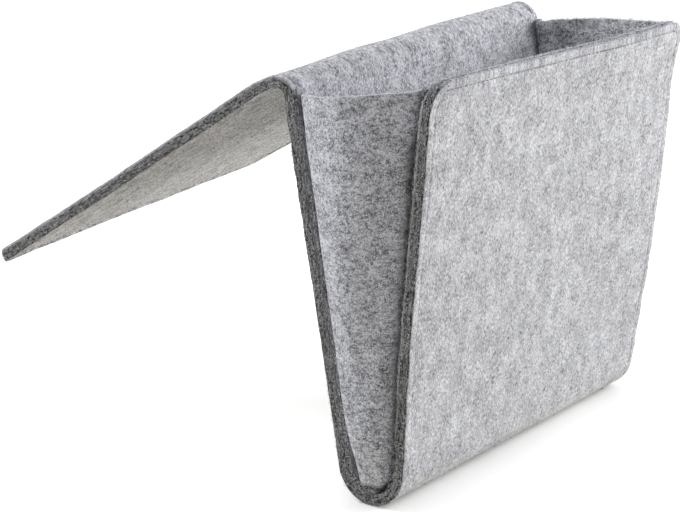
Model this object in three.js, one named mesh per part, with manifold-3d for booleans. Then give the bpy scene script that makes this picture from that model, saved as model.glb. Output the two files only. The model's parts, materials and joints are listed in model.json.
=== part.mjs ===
// Bedside caddy of felt: a two-ply sheet folded into a flap, a back, a rounded
// bottom and a front, closed at the sides by two bulging gussets and sewn all round.
import * as THREE from 'three';
import { mergeVertices } from 'three/addons/utils/BufferGeometryUtils.js';
import Module from 'manifold-3d';

const wasm = await Module();
wasm.setup();

// Driving dimensions in millimetres
const WIDTH = 220;
const FELT = 2.8;
const GAP = 0.3;
const FLAP_LENGTH = 235;
const BACK_LENGTH = 191;
const FRONT_LENGTH = 199;
const BOTTOM_INNER_RADIUS = 14;
const FOLD_INNER_RADIUS = 5;
const FRONT_CORNER = 16;
const FLAP_CORNER = 6;

// Angles of the panels as the caddy stands, in degrees
const BACK_LEAN = 10.4;
const FRONT_LEAN = 5.5;
const FLAP_DROP = 32.2;

// Gussets: felt, sewn flange and how far it lies inside the front's edge,
// height of the top edge on each panel, outward swell
const GUSSET_FELT = 2.8;
const FLANGE = 5.5;
const FRONT_RECESS = 3;
const GUSSET_BACK_RISE = 189;
const GUSSET_FRONT_RISE = 196;
const GUSSET_BULGE = 14.5;
const BULGE_PEAK = 0.42;
const BULGE_TAPER = 0.25;
const GUSSET_FOOT = 5;

// Sewing: distance from the edge, thread section, length left free at a fold
const STITCH_INSET = 4.5;
const THREAD_WIDTH = 0.8;
const THREAD_DEPTH = 0.6;
const STITCH_BEND = 3;
const FOLD_RELIEF = 4;

// Mesh fineness
const ARC_STEPS = 16;
const CORNER_STEPS = 6;
const GUSSET_ACROSS = 16;
const GUSSET_DOWN = 18;

// Derived sizes: d is measured from the middle of the sheet, positive outwards
const SHEET = 2 * FELT + GAP;
const BOTTOM_RADIUS = BOTTOM_INNER_RADIUS + SHEET / 2;
const FOLD_RADIUS = FOLD_INNER_RADIUS + SHEET / 2;
const OUTER_PLY = [GAP / 2, SHEET / 2];
const INNER_PLY = [-SHEET / 2, -GAP / 2];
const FLANGE_PLY = [-SHEET / 2 - GAP - GUSSET_FELT, -SHEET / 2 - GAP];
const GROOVE_WIDTH = THREAD_WIDTH + 2 * GAP;
const GROOVE_DEPTH = THREAD_DEPTH + GAP;

const lean = THREE.MathUtils.degToRad(BACK_LEAN);
const frontLean = THREE.MathUtils.degToRad(FRONT_LEAN);
const drop = THREE.MathUtils.degToRad(FLAP_DROP);
const backAngle = -lean;
const frontAngle = frontLean - Math.PI;
const bottomAngle = (backAngle + frontAngle) / 2;

// Materials
function felt(color) {
  return new THREE.MeshStandardMaterial({ color, roughness: 0.95, metalness: 0 });
}

function thread() {
  return new THREE.MeshStandardMaterial({ color: 0x8b8b8c, roughness: 0.8, metalness: 0 });
}

const LINING_GREY = 0xc3c4c6;
const SHELL_GREY = 0xc0c1c3;
const GUSSET_GREY = 0xa9abae;

// Boolean helpers
function toSolid(geometry) {
  const bare = geometry.clone();
  bare.deleteAttribute('normal');
  bare.deleteAttribute('uv');
  const merged = mergeVertices(bare, 1e-4);
  const vertProperties = new Float32Array(merged.attributes.position.array);
  const triVerts = new Uint32Array(merged.index.array);
  return new wasm.Manifold(new wasm.Mesh({ numProp: 3, vertProperties, triVerts }));
}

function toGeometry(solid) {
  const mesh = solid.getMesh();
  const geometry = new THREE.BufferGeometry();
  geometry.setAttribute('position', new THREE.BufferAttribute(mesh.vertProperties, 3));
  geometry.setIndex(new THREE.BufferAttribute(mesh.triVerts, 1));
  geometry.computeVertexNormals();
  return geometry;
}

function cut(geometry, tools) {
  let solid = toSolid(geometry);
  for (const tool of tools) {
    solid = solid.subtract(toSolid(tool));
  }
  return toGeometry(solid);
}

// Points on the pocket's profile, in (y, z) from the centre of the bottom bend
function backPoint(d, rise) {
  const r = BOTTOM_RADIUS + d;
  return new THREE.Vector2(
    r * Math.cos(lean) + rise * Math.sin(lean),
    -r * Math.sin(lean) + rise * Math.cos(lean)
  );
}

function frontPoint(d, rise) {
  const r = BOTTOM_RADIUS + d;
  return new THREE.Vector2(
    -r * Math.cos(frontLean) - rise * Math.sin(frontLean),
    -r * Math.sin(frontLean) + rise * Math.cos(frontLean)
  );
}

// A band of the profile: down the back, round the bottom to endAngle and up the front
function pocketBand([d0, d1], backRise, frontRise, endAngle = frontAngle) {
  const shape = new THREE.Shape();
  if (backRise > 0) {
    const start = backPoint(d0, backRise);
    const foot = backPoint(d0, 0);
    shape.moveTo(start.x, start.y);
    shape.lineTo(foot.x, foot.y);
  }
  shape.absarc(0, 0, BOTTOM_RADIUS + d0, backAngle, endAngle, true);
  if (frontRise > 0) {
    const low = frontPoint(d0, frontRise);
    const high = frontPoint(d1, frontRise);
    shape.lineTo(low.x, low.y);
    shape.lineTo(high.x, high.y);
  }
  shape.absarc(0, 0, BOTTOM_RADIUS + d1, endAngle, backAngle, false);
  if (backRise > 0) {
    const end = backPoint(d1, backRise);
    shape.lineTo(end.x, end.y);
  }
  return shape;
}

// A (y, z) outline drawn out along X from x0 to x1
function alongX(shape, x0, x1) {
  const options = { depth: x1 - x0, bevelEnabled: false, curveSegments: ARC_STEPS };
  const geometry = new THREE.ExtrudeGeometry(shape, options);
  const turn = new THREE.Matrix4().makeBasis(
    new THREE.Vector3(0, 1, 0),
    new THREE.Vector3(0, 0, 1),
    new THREE.Vector3(1, 0, 0)
  );
  geometry.applyMatrix4(turn);
  geometry.translate(x0, 0, 0);
  return geometry;
}

// An (x, y) outline on a flat panel, thick from z0 to z1
function plate(shape, z0, z1) {
  const options = { depth: z1 - z0, bevelEnabled: false, curveSegments: CORNER_STEPS };
  const geometry = new THREE.ExtrudeGeometry(shape, options);
  geometry.translate(0, 0, z0);
  return geometry;
}

// A panel from y0 to y1, its far corners rounded
function panelShape(y0, y1, corner) {
  const half = WIDTH / 2;
  const shape = new THREE.Shape();
  shape.moveTo(-half, y0);
  shape.lineTo(half, y0);
  if (corner > 0) {
    shape.absarc(half - corner, y1 - corner, corner, 0, Math.PI / 2, false);
    shape.absarc(corner - half, y1 - corner, corner, Math.PI / 2, Math.PI, false);
  } else {
    shape.lineTo(half, y1);
    shape.lineTo(-half, y1);
  }
  return shape;
}

// A sewn line of the given width along both sides and the far end of a panel
function hemShape(y0, y1, corner, width) {
  const bend = Math.max(corner - STITCH_INSET, STITCH_BEND);
  const x = WIDTH / 2 - STITCH_INSET - bend;
  const y = y1 - STITCH_INSET - bend;
  const outer = bend + width / 2;
  const inner = bend - width / 2;
  const shape = new THREE.Shape();
  shape.moveTo(x + inner, y0);
  shape.lineTo(x + outer, y0);
  shape.absarc(x, y, outer, 0, Math.PI / 2, false);
  shape.absarc(-x, y, outer, Math.PI / 2, Math.PI, false);
  shape.lineTo(-x - outer, y0);
  shape.lineTo(-x - inner, y0);
  shape.absarc(-x, y, inner, Math.PI, Math.PI / 2, true);
  shape.absarc(x, y, inner, Math.PI / 2, 0, true);
  return shape;
}

// A straight sewn line across a panel
function barShape(halfLength, y, width) {
  const shape = new THREE.Shape();
  shape.moveTo(-halfLength, y - width / 2);
  shape.lineTo(halfLength, y - width / 2);
  shape.lineTo(halfLength, y + width / 2);
  shape.lineTo(-halfLength, y + width / 2);
  return shape;
}

function piece(name, geometry, material, group) {
  const mesh = new THREE.Mesh(geometry, material);
  mesh.name = name;
  group.add(mesh);
}

// Groups: the pocket turns about its bottom bend, the flap about the top fold
const caddy = new THREE.Group();
const pocket = new THREE.Group();
const back = new THREE.Group();
const front = new THREE.Group();
const flap = new THREE.Group();
caddy.add(pocket);
pocket.add(back, front, flap);
back.rotation.x = Math.PI / 2 - lean;
front.rotation.x = Math.PI / 2 + frontLean;
flap.rotation.x = -drop;

// The top fold's centre lies behind the back panel, level with its upper end
const foldCentre = backPoint(FOLD_RADIUS, BACK_LENGTH);
flap.position.set(0, foldCentre.x, foldCentre.y);

// Flap: the lining is its upper ply, the shell its lower ply
function makeFlap() {
  const outline = panelShape(GAP, FLAP_LENGTH, FLAP_CORNER);
  const seam = hemShape(FOLD_RELIEF, FLAP_LENGTH, FLAP_CORNER, THREAD_WIDTH);
  const groove = hemShape(FOLD_RELIEF - GAP, FLAP_LENGTH, FLAP_CORNER, GROOVE_WIDTH);
  const top = FOLD_RADIUS + SHEET / 2;
  const under = FOLD_RADIUS - SHEET / 2;
  const upper = plate(outline, FOLD_RADIUS + GAP / 2, top);
  const lower = plate(outline, under, FOLD_RADIUS - GAP / 2);
  const topGroove = plate(groove, top - GROOVE_DEPTH, top + GAP);
  const underGroove = plate(groove, under - GAP, under + GROOVE_DEPTH);
  piece('flap_lining_felt', cut(upper, [topGroove]), felt(LINING_GREY), flap);
  piece('flap_shell_felt', cut(lower, [underGroove]), felt(SHELL_GREY), flap);
  piece('flap_top_thread', plate(seam, top - THREAD_DEPTH, top), thread(), flap);
  piece('flap_under_thread', plate(seam, under, under + THREAD_DEPTH), thread(), flap);
}

// Top fold: the two plies turning from the flap down into the back
function foldBand([d0, d1]) {
  const first = Math.PI / 2 - drop;
  const last = Math.PI - lean;
  const shape = new THREE.Shape();
  shape.absarc(0, 0, FOLD_RADIUS + d1, first, last, false);
  shape.absarc(0, 0, FOLD_RADIUS + d0, last, first, true);
  const geometry = alongX(shape, -WIDTH / 2, WIDTH / 2);
  geometry.translate(0, foldCentre.x, foldCentre.y);
  return geometry;
}

function makeTopFold() {
  piece('top_fold_lining_felt', foldBand(OUTER_PLY), felt(LINING_GREY), pocket);
  piece('top_fold_shell_felt', foldBand(INNER_PLY), felt(SHELL_GREY), pocket);
}

// Back and bottom: one sewn line a side runs down the back and round the bottom
function seamBand(depth, width, side, ease) {
  const reach = SHEET / 2;
  const stop = frontAngle + (FOLD_RELIEF - ease) / (BOTTOM_RADIUS + reach);
  const rise = BACK_LENGTH - FOLD_RELIEF + ease;
  const proud = ease;
  const shape = pocketBand([reach - depth, reach + proud], rise, 0, stop);
  const x = side * (WIDTH / 2 - STITCH_INSET);
  return alongX(shape, x - width / 2, x + width / 2);
}

function makeBackAndBottom() {
  const outline = panelShape(GAP, BACK_LENGTH - GAP, 0);
  const middle = -BOTTOM_RADIUS;
  piece('back_lining_felt', plate(outline, middle + GAP / 2, middle + SHEET / 2), felt(LINING_GREY), back);
  const half = WIDTH / 2;
  piece('bottom_lining_felt', alongX(pocketBand(INNER_PLY, 0, 0), -half, half), felt(LINING_GREY), pocket);
  const grooves = [-1, 1].map((side) => seamBand(GROOVE_DEPTH, GROOVE_WIDTH, side, GAP));
  const bottomShell = cut(alongX(pocketBand(OUTER_PLY, 0, 0), -half, half), grooves);
  piece('bottom_shell_felt', bottomShell, felt(SHELL_GREY), pocket);
  const toBack = new THREE.Matrix4().makeRotationX(-back.rotation.x);
  const backGrooves = grooves.map((groove) => groove.clone().applyMatrix4(toBack));
  const backShell = cut(plate(outline, middle - SHEET / 2, middle - GAP / 2), backGrooves);
  piece('back_shell_felt', backShell, felt(SHELL_GREY), back);
  piece('left_back_thread', seamBand(THREAD_DEPTH, THREAD_WIDTH, -1, 0), thread(), pocket);
  piece('right_back_thread', seamBand(THREAD_DEPTH, THREAD_WIDTH, 1, 0), thread(), pocket);
}

// Front: sewn round its sides and top outside, and across the hem inside
function makeFront() {
  const outline = panelShape(GAP, FRONT_LENGTH, FRONT_CORNER);
  const outside = BOTTOM_RADIUS + SHEET / 2;
  const inside = BOTTOM_RADIUS - SHEET / 2;
  const seam = hemShape(FOLD_RELIEF, FRONT_LENGTH, FRONT_CORNER, THREAD_WIDTH);
  const groove = hemShape(FOLD_RELIEF - GAP, FRONT_LENGTH, FRONT_CORNER, GROOVE_WIDTH);
  const shell = plate(outline, BOTTOM_RADIUS + GAP / 2, outside);
  const shellGroove = plate(groove, outside - GROOVE_DEPTH, outside + GAP);
  piece('front_shell_felt', cut(shell, [shellGroove]), felt(SHELL_GREY), front);
  piece('front_outer_thread', plate(seam, outside - THREAD_DEPTH, outside), thread(), front);
  const reach = WIDTH / 2 - FRONT_CORNER;
  const level = FRONT_LENGTH - STITCH_INSET;
  const bar = barShape(reach, level, THREAD_WIDTH);
  const slot = barShape(reach + GAP, level, GROOVE_WIDTH);
  const lining = plate(outline, inside, BOTTOM_RADIUS - GAP / 2);
  const slotCut = plate(slot, inside - GAP, inside + GROOVE_DEPTH);
  piece('front_lining_felt', cut(lining, [slotCut]), felt(LINING_GREY), front);
  piece('front_inner_thread', plate(bar, inside, inside + THREAD_DEPTH), thread(), front);
}

// Gussets: a flange sewn to the lining right round, and a wall swelling outwards
const flangeMiddle = (FLANGE_PLY[0] + FLANGE_PLY[1]) / 2;
const footRadius = BOTTOM_RADIUS + flangeMiddle;

// A point on the flange's middle line, s along it from the lowest point
function seamPoint(s, towardsBack) {
  const endAngle = towardsBack ? backAngle : frontAngle;
  const arc = Math.abs(endAngle - bottomAngle) * footRadius;
  if (s <= arc) {
    const angle = bottomAngle + Math.sign(endAngle - bottomAngle) * (s / footRadius);
    return new THREE.Vector2(footRadius * Math.cos(angle), footRadius * Math.sin(angle));
  }
  return towardsBack ? backPoint(flangeMiddle, s - arc) : frontPoint(flangeMiddle, s - arc);
}

function seamLength(towardsBack) {
  const endAngle = towardsBack ? backAngle : frontAngle;
  const rise = towardsBack ? GUSSET_BACK_RISE : GUSSET_FRONT_RISE;
  return Math.abs(endAngle - bottomAngle) * footRadius + rise;
}

// The wall's middle surface: u runs from back to front, v from the top edge to the foot
function wallPoint(u, v, side) {
  const backAt = THREE.MathUtils.lerp(seamLength(true), GUSSET_FOOT, v);
  const frontAt = THREE.MathUtils.lerp(seamLength(false), GUSSET_FOOT, v);
  const a = seamPoint(backAt, true);
  const b = seamPoint(frontAt, false);
  const mouth = seamPoint(seamLength(true), true).distanceTo(seamPoint(seamLength(false), false));
  const swell = GUSSET_BULGE * Math.pow(a.distanceTo(b) / mouth, BULGE_TAPER);
  const lobe = Math.sin(Math.PI * Math.pow(u, Math.log(0.5) / Math.log(BULGE_PEAK)));
  const p = a.lerp(b, u);
  return new THREE.Vector3(side * (WIDTH / 2 - FLANGE + swell * lobe), p.x, p.y);
}

function wallNormal(u, v, side) {
  const e = 0.01;
  const alongU = wallPoint(Math.min(u + e, 1), v, side).sub(wallPoint(Math.max(u - e, 0), v, side));
  const alongV = wallPoint(u, Math.min(v + e, 1), side).sub(wallPoint(u, Math.max(v - e, 0), side));
  const normal = alongU.cross(alongV).normalize();
  return normal.multiplyScalar(Math.sign(normal.x) * side);
}

function gussetWall(side) {
  const positions = [];
  const row = GUSSET_ACROSS + 1;
  for (const face of [1, -1]) {
    for (let j = 0; j <= GUSSET_DOWN; j++) {
      for (let i = 0; i <= GUSSET_ACROSS; i++) {
        const u = i / GUSSET_ACROSS;
        const v = j / GUSSET_DOWN;
        const p = wallPoint(u, v, side);
        p.addScaledVector(wallNormal(u, v, side), (face * GUSSET_FELT) / 2);
        positions.push(p.x, p.y, p.z);
      }
    }
  }
  const index = [];
  const quad = (a, b, c, d) => {
    const corners = side > 0 ? [a, b, c, a, c, d] : [a, c, b, a, d, c];
    index.push(...corners);
  };
  const far = row * (GUSSET_DOWN + 1);
  for (let j = 0; j < GUSSET_DOWN; j++) {
    for (let i = 0; i < GUSSET_ACROSS; i++) {
      const a = j * row + i;
      quad(a, a + 1, a + row + 1, a + row);
      quad(far + a, far + a + row, far + a + row + 1, far + a + 1);
    }
  }
  const rim = [];
  for (let i = 0; i < GUSSET_ACROSS; i++) rim.push(i);
  for (let j = 0; j < GUSSET_DOWN; j++) rim.push(j * row + GUSSET_ACROSS);
  for (let i = GUSSET_ACROSS; i > 0; i--) rim.push(GUSSET_DOWN * row + i);
  for (let j = GUSSET_DOWN; j > 0; j--) rim.push(j * row);
  rim.forEach((a, k) => {
    const b = rim[(k + 1) % rim.length];
    quad(b, a, far + a, far + b);
  });
  const geometry = new THREE.BufferGeometry();
  geometry.setAttribute('position', new THREE.Float32BufferAttribute(positions, 3));
  geometry.setIndex(index);
  return geometry;
}

// The part of the flange that is cut back along the front panel
function recessShape() {
  const [d0, d1] = [FLANGE_PLY[0] - GAP, FLANGE_PLY[1] + GAP / 2];
  const corners = [
    frontPoint(d0, 0),
    frontPoint(d0, FRONT_LENGTH),
    frontPoint(d1, FRONT_LENGTH),
    frontPoint(d1, 0),
  ];
  return new THREE.Shape(corners);
}

// A profile drawn out from x0 to x1 on the given side of the middle
function onSide(shape, x0, x1, side) {
  return side > 0 ? alongX(shape, x0, x1) : alongX(shape, -x1, -x0);
}

function makeGusset(name, side) {
  const frontRise = Math.min(GUSSET_FRONT_RISE, FRONT_LENGTH - FRONT_CORNER);
  const band = pocketBand(FLANGE_PLY, GUSSET_BACK_RISE, frontRise);
  const edge = WIDTH / 2;
  const root = edge - FLANGE - GUSSET_FELT / 2;
  const recess = onSide(recessShape(), edge - FRONT_RECESS, edge + GAP, side);
  const flange = toSolid(onSide(band, root, edge, side)).subtract(toSolid(recess));
  const solid = flange.add(toSolid(gussetWall(side)));
  piece(name, toGeometry(solid), felt(GUSSET_GREY), pocket);
}

makeFlap();
makeTopFold();
makeBackAndBottom();
makeFront();
makeGusset('left_gusset', -1);
makeGusset('right_gusset', 1);

// The origin is the middle of the flap's upper face, which the mattress holds down
const hold = new THREE.Vector3(0, FLAP_LENGTH / 2, FOLD_RADIUS + SHEET / 2);
hold.applyEuler(flap.rotation).add(flap.position);
caddy.position.copy(hold).negate();

export default caddy;
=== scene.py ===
"""Felt bedside caddy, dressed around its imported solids.

Two long felt plies are folded into flap, back, bottom and front. Two bulging gussets close
the sides, rows of lock stitches hold the edges, and loose wool fibres stand off the felt.
"""

import json
import math

import bmesh
import bpy
import numpy as np
from bpy.props import FloatProperty, FloatVectorProperty, PointerProperty
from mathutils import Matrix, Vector


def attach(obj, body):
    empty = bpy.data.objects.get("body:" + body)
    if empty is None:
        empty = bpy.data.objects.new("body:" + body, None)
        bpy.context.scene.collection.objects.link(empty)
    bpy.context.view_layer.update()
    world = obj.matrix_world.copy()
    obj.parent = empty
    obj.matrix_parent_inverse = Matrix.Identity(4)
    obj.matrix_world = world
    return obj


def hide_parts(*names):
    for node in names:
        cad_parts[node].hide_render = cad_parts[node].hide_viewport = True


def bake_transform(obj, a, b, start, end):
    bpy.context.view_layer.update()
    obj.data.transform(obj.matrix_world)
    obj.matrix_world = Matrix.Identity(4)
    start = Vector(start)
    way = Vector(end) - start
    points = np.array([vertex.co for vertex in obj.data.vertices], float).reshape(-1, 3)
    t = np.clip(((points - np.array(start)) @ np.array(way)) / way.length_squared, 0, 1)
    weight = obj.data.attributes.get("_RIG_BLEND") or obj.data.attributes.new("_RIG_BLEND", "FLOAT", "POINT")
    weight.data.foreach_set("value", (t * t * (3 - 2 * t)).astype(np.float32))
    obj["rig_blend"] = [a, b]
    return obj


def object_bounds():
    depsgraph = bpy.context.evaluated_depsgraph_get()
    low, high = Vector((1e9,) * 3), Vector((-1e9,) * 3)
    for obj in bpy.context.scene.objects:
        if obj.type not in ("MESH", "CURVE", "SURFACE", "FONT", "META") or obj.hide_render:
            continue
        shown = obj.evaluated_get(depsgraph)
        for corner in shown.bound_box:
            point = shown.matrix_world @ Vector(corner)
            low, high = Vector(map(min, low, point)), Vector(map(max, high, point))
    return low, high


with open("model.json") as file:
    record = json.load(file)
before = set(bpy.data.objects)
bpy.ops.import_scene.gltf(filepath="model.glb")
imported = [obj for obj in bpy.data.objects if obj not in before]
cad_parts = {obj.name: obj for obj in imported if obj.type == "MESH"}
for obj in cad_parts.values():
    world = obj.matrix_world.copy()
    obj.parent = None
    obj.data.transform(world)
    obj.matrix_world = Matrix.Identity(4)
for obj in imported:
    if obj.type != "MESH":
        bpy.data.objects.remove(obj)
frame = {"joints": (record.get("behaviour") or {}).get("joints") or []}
CAD_BOX = [list(corner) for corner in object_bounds()]
HINGES = {joint["name"]: np.array(joint["pos_m"], float) for joint in frame["joints"]}
FLOOR_LEVEL = CAD_BOX[0][2]
FLOOR_EDGE = 6.0
LAMP_DISTANCE = 1.8
LAMP_AIM = Vector((0, -0.12, -0.02))
MM = 0.001

bl_info = {
    "name": "Felt bedside caddy",
    "version": (1, 0, 0),
    "blender": (4, 5, 0),
    "location": "3D View > Sidebar > Caddy",
    "description": "Makes the felt plies, gussets, stitches and fibres of a bedside caddy",
    "category": "Object",
}


def number(name, description, default, **kind):
    """A plain number."""
    return FloatProperty(name=name, description=description, default=default, **kind)


def length(name, description, default):
    """A size in metres, given in millimetres."""
    return number(name, description, default * MM, unit="LENGTH")


def angle(name, description, default):
    """An angle, given in degrees."""
    return number(name, description, math.radians(default), subtype="ANGLE")


def tint(name, description, default):
    """A colour in linear light, given as 8-bit screen values above 10."""
    linear = [((c / 255 + 0.055) / 1.055) ** 2.4 for c in default]
    return FloatVectorProperty(
        name=name, description=description, default=linear, subtype="COLOR", min=0, max=1
    )


class CaddySizes(bpy.types.PropertyGroup):
    """Sizes of the cut felt and of the folded shape."""

    width: length("Width", "Width of the two long plies", 220)
    felt: length("Felt", "Thickness of one felt ply", 2.8)
    ply_gap: length("Ply gap", "Room between two plies sewn together", 0.08)
    flange_gap: length("Flange gap", "Room between the lining and a gusset's flange", 0.1)
    sheet: length("Sheet", "Thickness of the two plies together", 5.9)
    flap: length("Flap", "Length of the flap from the fold to its tip", 235)
    back: length("Back", "Length of the back panel", 191)
    front: length("Front", "Length of the front panel", 199)
    fold_radius: length("Fold radius", "Radius of the top fold at the middle of the sheet", 7.95)
    bottom_radius: length("Bottom radius", "Radius of the bottom at the sheet's middle", 16.95)
    flap_corner: length("Flap corner", "Corner radius at the flap's tip", 6)
    front_corner: length("Front corner", "Corner radius at the front's top left", 16)
    right_corner: length("Right corner", "Corner radius at the front's top right", 11)
    back_lean: angle("Back lean", "Lean of the back panel", 10.4)
    front_lean: angle("Front lean", "Lean of the front panel", 5.5)
    flap_drop: angle("Flap drop", "Slope of the flap below level", 32.2)
    flap_loft: length("Flap loft", "How much the flap's edges are puffed up on each face", 0.7)
    tip_curl: length("Tip curl", "How much the flap's tip curls up", 1.9)
    flap_twist: length("Flap twist", "Height of the tip's right corner over the middle", 6.4)
    fold_tilt: length("Fold tilt", "Height of the fold's right end over the middle", 1.55)
    fold_sway: length("Fold sway", "How far back the fold's right end lies", 1.07)
    front_tilt: length("Front tilt", "Height of the front's right corner over the middle", -2.36)
    front_sway: length("Front sway", "How far back the front's right corner lies", -3.07)
    fold_droop: length("Fold droop", "How much lower the fold's left end lies", 2.0)
    front_bow: length("Front bow", "How far the front's right edge bows forward", 1.8)
    corner_flare: length("Corner flare", "How far the front's right corner turns forward", 3.6)
    corner_lift: length("Corner lift", "How much higher the front's right corner lies", 2.9)
    cut_radius: length("Cut radius", "Rounding of a cut edge on the face", 0.9)
    soft_radius: length("Soft radius", "Rounding of the flap's upper cut edge", 2.0)
    ply_radius: length("Ply radius", "Rounding of a cut edge between the plies", 0.16)
    foot_sway: length("Foot sway", "How far back the bottom bend lies", 1.5)
    front_dent: length("Front dent", "How far the front's left edge is pressed in", 1.4)


class CaddyGusset(bpy.types.PropertyGroup):
    """Sizes of the two gussets."""

    flange: length("Flange", "Width of the sewn flange", 5.5)
    recess: length("Recess", "How far the flange ends inside the front's edge", 3)
    back_rise: length("Back rise", "Height of the top edge on the back panel", 191)
    front_rise: length("Front rise", "Height of the top edge on the front panel", 195.2)
    rise_skew: length("Rise skew", "How much higher the right gusset is sewn to the front", 1.3)
    bulge: length("Bulge", "Outward swell at the mouth", 14.5)
    crest: number("Crest", "Where the swell peaks, from the back", 0.42)
    taper: number("Taper", "How fast the swell falls downwards", 0.25)
    foot: length("Foot", "Half width of the wall at its foot", 2.5)
    gather: length("Gather", "Felt gathered up on the flange under the foot", 1.5)
    ear: length("Ear", "How much higher the back flange reaches than the wall", 3)
    tail: length("Tail", "Half gap between the flange's ends at the bottom", 0.3)
    fold: length("Fold", "Softness of the fold between flange and wall", 0.8)
    crevice: length("Crevice", "Where the wall turns out, from the flange's middle", 2.3)
    peel: length("Peel", "How far the right gusset stands off the back at its top", 1.5)
    tuck: length("Tuck", "How far the wall goes in beside the front", 4)
    # The felt is made darker up to this height over the foot
    frayed: length("Frayed hem", "Height of the frayed hem over the foot", 8)


class CaddySewing(bpy.types.PropertyGroup):
    """The seams."""

    inset: length("Inset", "Distance of the seam from the cut edge", 4.5)
    pitch: length("Pitch", "Distance from stitch to stitch", 3.4)
    stitch: length("Stitch", "Length of one stitch", 3.2)
    thread: length("Thread", "Thickness of the thread", 0.5)
    groove: length("Groove", "Depth that the seam draws the felt in", 0.65)
    groove_width: length("Groove width", "Half width of the drawn-in felt", 0.6)
    puff: length("Puff", "How much the felt swells between the seam and the edge", 0.2)
    valley: length("Valley", "Depth of the wide dip along the seam under the flap", 1.2)


class CaddyWool(bpy.types.PropertyGroup):
    """Loose fibres on the felt."""

    fibre: length("Fibre", "Length of a loose fibre", 1.5)
    width: length("Fibre width", "Thickness of a loose fibre", 0.2)
    density: number("Density", "Fibres per square metre of cut edge", 7e5)
    faces: number("On faces", "Share of that on the felt's faces", 0.035)
    under_flap: number("Under the flap", "How many times as many stand under the flap", 3)


class CaddyColours(bpy.types.PropertyGroup):
    """Colours of the wool and of the thread."""

    pale: tint("Pale wool", "Lightest fibres of the felt", (241, 242, 249))
    grey: tint("Grey wool", "Dark fibres of the felt", (110, 111, 118))
    # Cut wool also colours the painted shade in a gusset's crevice and on its hidden flange
    cut: tint("Cut wool", "Fibre ends along a cut edge", (164, 165, 171))
    thread: tint("Thread", "Sewing thread", (138, 139, 142))
    floor: tint("Floor", "Floor and backdrop", (246, 241, 226))


class CaddyView(bpy.types.PropertyGroup):
    """Camera and lamps."""

    yaw: angle("Yaw", "Camera direction from the back panel's normal", 52.85)
    pitch: angle("Pitch", "Camera tilt below level", 16.27)
    place: FloatVectorProperty(
        name="Place",
        description="Camera position from the middle of the bottom bend",
        default=(-0.8749, -0.5862, 0.4068),
        subtype="TRANSLATION",
    )
    lens: number("Lens", "Focal length in millimetres", 111.24)
    shift: FloatVectorProperty(
        name="Shift", description="Lens shift", default=(-0.0604, -0.0479), size=2
    )
    ambient: number("Ambient", "Light from all round", 0.161)
    key: number("Key", "High front lamp", 7.0, unit="POWER")
    fill: number("Fill", "Low right lamp", 25.0, unit="POWER")
    rear: number("Rear", "High rear lamp", 25.1, unit="POWER")


class CaddySettings(bpy.types.PropertyGroup):
    """All settings of the caddy."""

    sizes: PointerProperty(type=CaddySizes)
    gusset: PointerProperty(type=CaddyGusset)
    sewing: PointerProperty(type=CaddySewing)
    wool: PointerProperty(type=CaddyWool)
    colours: PointerProperty(type=CaddyColours)
    view: PointerProperty(type=CaddyView)


GROUPS = [CaddySizes, CaddyGusset, CaddySewing, CaddyWool, CaddyColours, CaddyView, CaddySettings]


def settings():
    """The caddy's settings on the scene."""
    return bpy.context.scene.felt_caddy


def ripples(seed, count, shortest, longest):
    """A smooth height of about unit size over two flat coordinates, from fixed random waves."""
    rng = np.random.default_rng(seed)
    bearing = rng.uniform(0, 2 * np.pi, count)
    wave = 2 * np.pi / rng.uniform(shortest, longest, count)
    phase = rng.uniform(0, 2 * np.pi, count)
    share = math.sqrt(2 / count)

    def height(a, b):
        total = np.zeros(np.broadcast(a, b).shape)
        for beta, k, p in zip(bearing, wave, phase):
            total = total + np.sin(k * (a * np.cos(beta) + b * np.sin(beta)) + p)
        return total * share

    return height


# How the felt lies in long waves, its small dents, the way the scissors wandered, and the
# half width of the dip along the seam under the flap
LIE = ripples(11, 9, 0.05, 0.16)
DENTS = ripples(12, 14, 0.012, 0.03)
SCISSORS = ripples(13, 10, 0.007, 0.035)
SHEET_LIE = 0.28 * MM
GUSSET_LIE = 0.5 * MM
DENT_DEPTH = 0.05 * MM
CUT_WANDER = 0.22 * MM
RIM_WANDER = 0.1 * MM
VALLEY_WIDTH = 1.3 * MM


def smooth(share):
    """0 below 0, 1 above 1, an even S between."""
    share = np.clip(share, 0, 1)
    return share * share * (3 - 2 * share)


def ramp(value, start, span):
    """0 up to the start, 1 from a span later, an even S between."""
    return smooth((value - start) / span)


def arch(share):
    """0 at 0 and below and at 1 and above, 1 half way."""
    return np.sin(np.pi * np.clip(share, 0, 1))


def bell(distance, width):
    """1 at no distance, a third at the width, almost 0 at twice the width."""
    return np.exp(-((distance / width) ** 2))


def unit(vectors):
    """Vectors made one long."""
    return vectors / np.maximum(np.linalg.norm(vectors, axis=-1, keepdims=True), 1e-12)


def spaced(start, stop, step):
    """Evenly spaced values from start to stop, about step apart."""
    return np.linspace(start, stop, max(2, int(round(abs(stop - start) / step)) + 1))


def run_length(points):
    """Distance along a line of points."""
    return np.concatenate([[0], np.cumsum(np.linalg.norm(np.diff(points, axis=0), axis=1))])


def sample(where, run, vectors):
    """Vectors at the given distances along a line."""
    return np.stack([np.interp(where, run, vectors[:, k]) for k in range(3)], -1)


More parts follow.
